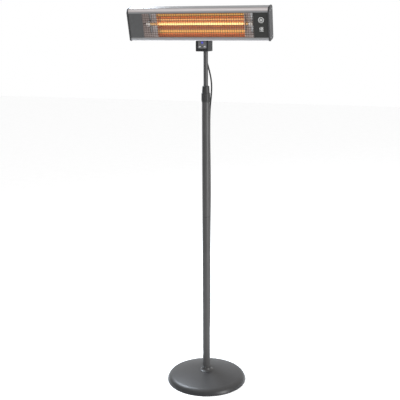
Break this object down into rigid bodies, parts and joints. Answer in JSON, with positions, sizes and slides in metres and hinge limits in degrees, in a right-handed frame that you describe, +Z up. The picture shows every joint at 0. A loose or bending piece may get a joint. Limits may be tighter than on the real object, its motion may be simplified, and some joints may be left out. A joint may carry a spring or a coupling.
{
  "type": "outdoor heater",
  "caption": "Free-standing infrared heater with a long tilting head, telescoping pole, control box and round base.",
  "frame": {"origin": "on the floor under the pole's axis, at the middle of the round base", "axes": "+Z up along the pole; the head runs along X and faces -Y"},
  "size_m": [0.685, 0.41, 1.9088],
  "materials": {
    "powder_coat": "fine textured powder coat",
    "ballast": "cast concrete",
    "zinc_steel": "bright zinc plate",
    "foot_rubber": "moulded rubber",
    "black_plastic": "moulded, fine grain",
    "cap_plastic": "moulded, satin",
    "brushed_aluminium": "brushed along its length, anodised",
    "panel_paint": "satin dark grey paint",
    "bright_wire": "bright plated wire",
    "reflector": "polished",
    "quartz": "clear quartz",
    "glowing_filament": "glowing",
    "ceramic": "unglazed white",
    "control_plate": "printed film",
    "blue_lens": "translucent",
    "dark_lens": "infrared window",
    "light_plastic": "moulded",
    "circuit_board": "lacquered laminate",
    "cord_rubber": "rubber sheath",
    "tie": "woven hook and loop",
    "brass_pins": "nickel plated"
  },
  "bodies": {
    "stand": {"base_cover": "powder_coat", "base_weight": "ballast", "base_plate": "zinc_steel", "base_feet": "foot_rubber", "foot_screws": "zinc_steel", "pole_washer": "zinc_steel", "pole_bolt": "zinc_steel", "foot_plug": "zinc_steel", "neck_flare": "powder_coat", "lower_tube": "powder_coat", "middle_tube": "powder_coat", "tube_coupler": "black_plastic", "collet": "black_plastic", "cord": "cord_rubber", "cord_tail": "cord_rubber", "cord_hank": "cord_rubber", "cord_tie": "tie", "plug": "cord_rubber", "plug_pins": "brass_pins"},
    "clamp_ring": {"clamp_ring": "black_plastic"},
    "mast": {"upper_tube": "powder_coat", "guide_bush": "black_plastic", "pole_socket": "powder_coat", "socket_screw": "zinc_steel", "tilt_pivot": "zinc_steel", "tilt_washers": "black_plastic", "box_case": "black_plastic", "box_front": "black_plastic", "control_plate": "control_plate", "status_lens": "blue_lens", "receiver_window": "dark_lens", "circuit_board": "circuit_board", "board_screws": "zinc_steel", "board_parts": "black_plastic", "strain_relief": "cord_rubber"},
    "tilt_knob": {"tilt_knob": "black_plastic"},
    "power_button": {"power_button": "light_plastic"},
    "timer_button": {"timer_button": "light_plastic"},
    "head": {"housing": "brushed_aluminium", "tilt_bracket": "powder_coat", "bracket_screws": "zinc_steel", "left_cap": "cap_plastic", "right_cap": "cap_plastic", "cap_screws": "zinc_steel", "left_panel": "panel_paint", "right_panel": "panel_paint", "grille": "bright_wire", "reflector": "reflector", "reflector_baffles": "reflector", "quartz_tube": "quartz", "filament": "glowing_filament", "lamp_ends": "ceramic", "lamp_holders": "zinc_steel", "terminal_block": "light_plastic", "tip_switch": "black_plastic", "lamp_wires": "cord_rubber", "head_lead": "cord_rubber", "lead_grommet": "foot_rubber"}
  },
  "joints": [
    {"name": "pole_height", "type": "slide", "parent": "stand", "child": "mast", "axis": [0, 0, 1], "range_m": [-0.12, 0.2], "deforming": ["cord"]},
    {"name": "head_tilt", "type": "hinge", "parent": "mast", "child": "head", "pos_m": [0, -0.042, 1.786], "axis": [1, 0, 0], "range_deg": [-15, 15]},
    {"name": "clamp_turn", "type": "hinge", "parent": "stand", "child": "clamp_ring", "pos_m": [0, 0, 1.48], "axis": [0, 0, 1], "range_deg": [0, 120]},
    {"name": "knob_turn", "type": "hinge", "parent": "mast", "child": "tilt_knob", "pos_m": [0.025, -0.042, 1.786], "axis": [1, 0, 0], "range_deg": [0, 180]},
    {"name": "power_press", "type": "slide", "parent": "mast", "child": "power_button", "axis": [0, 1, 0], "range_m": [0, 0.0012], "stiffness_N_per_m": 400, "springref_m": -0.0006},
    {"name": "timer_press", "type": "slide", "parent": "mast", "child": "timer_button", "axis": [0, 1, 0], "range_m": [0, 0.0012], "stiffness_N_per_m": 400, "springref_m": -0.0006}
  ]
}
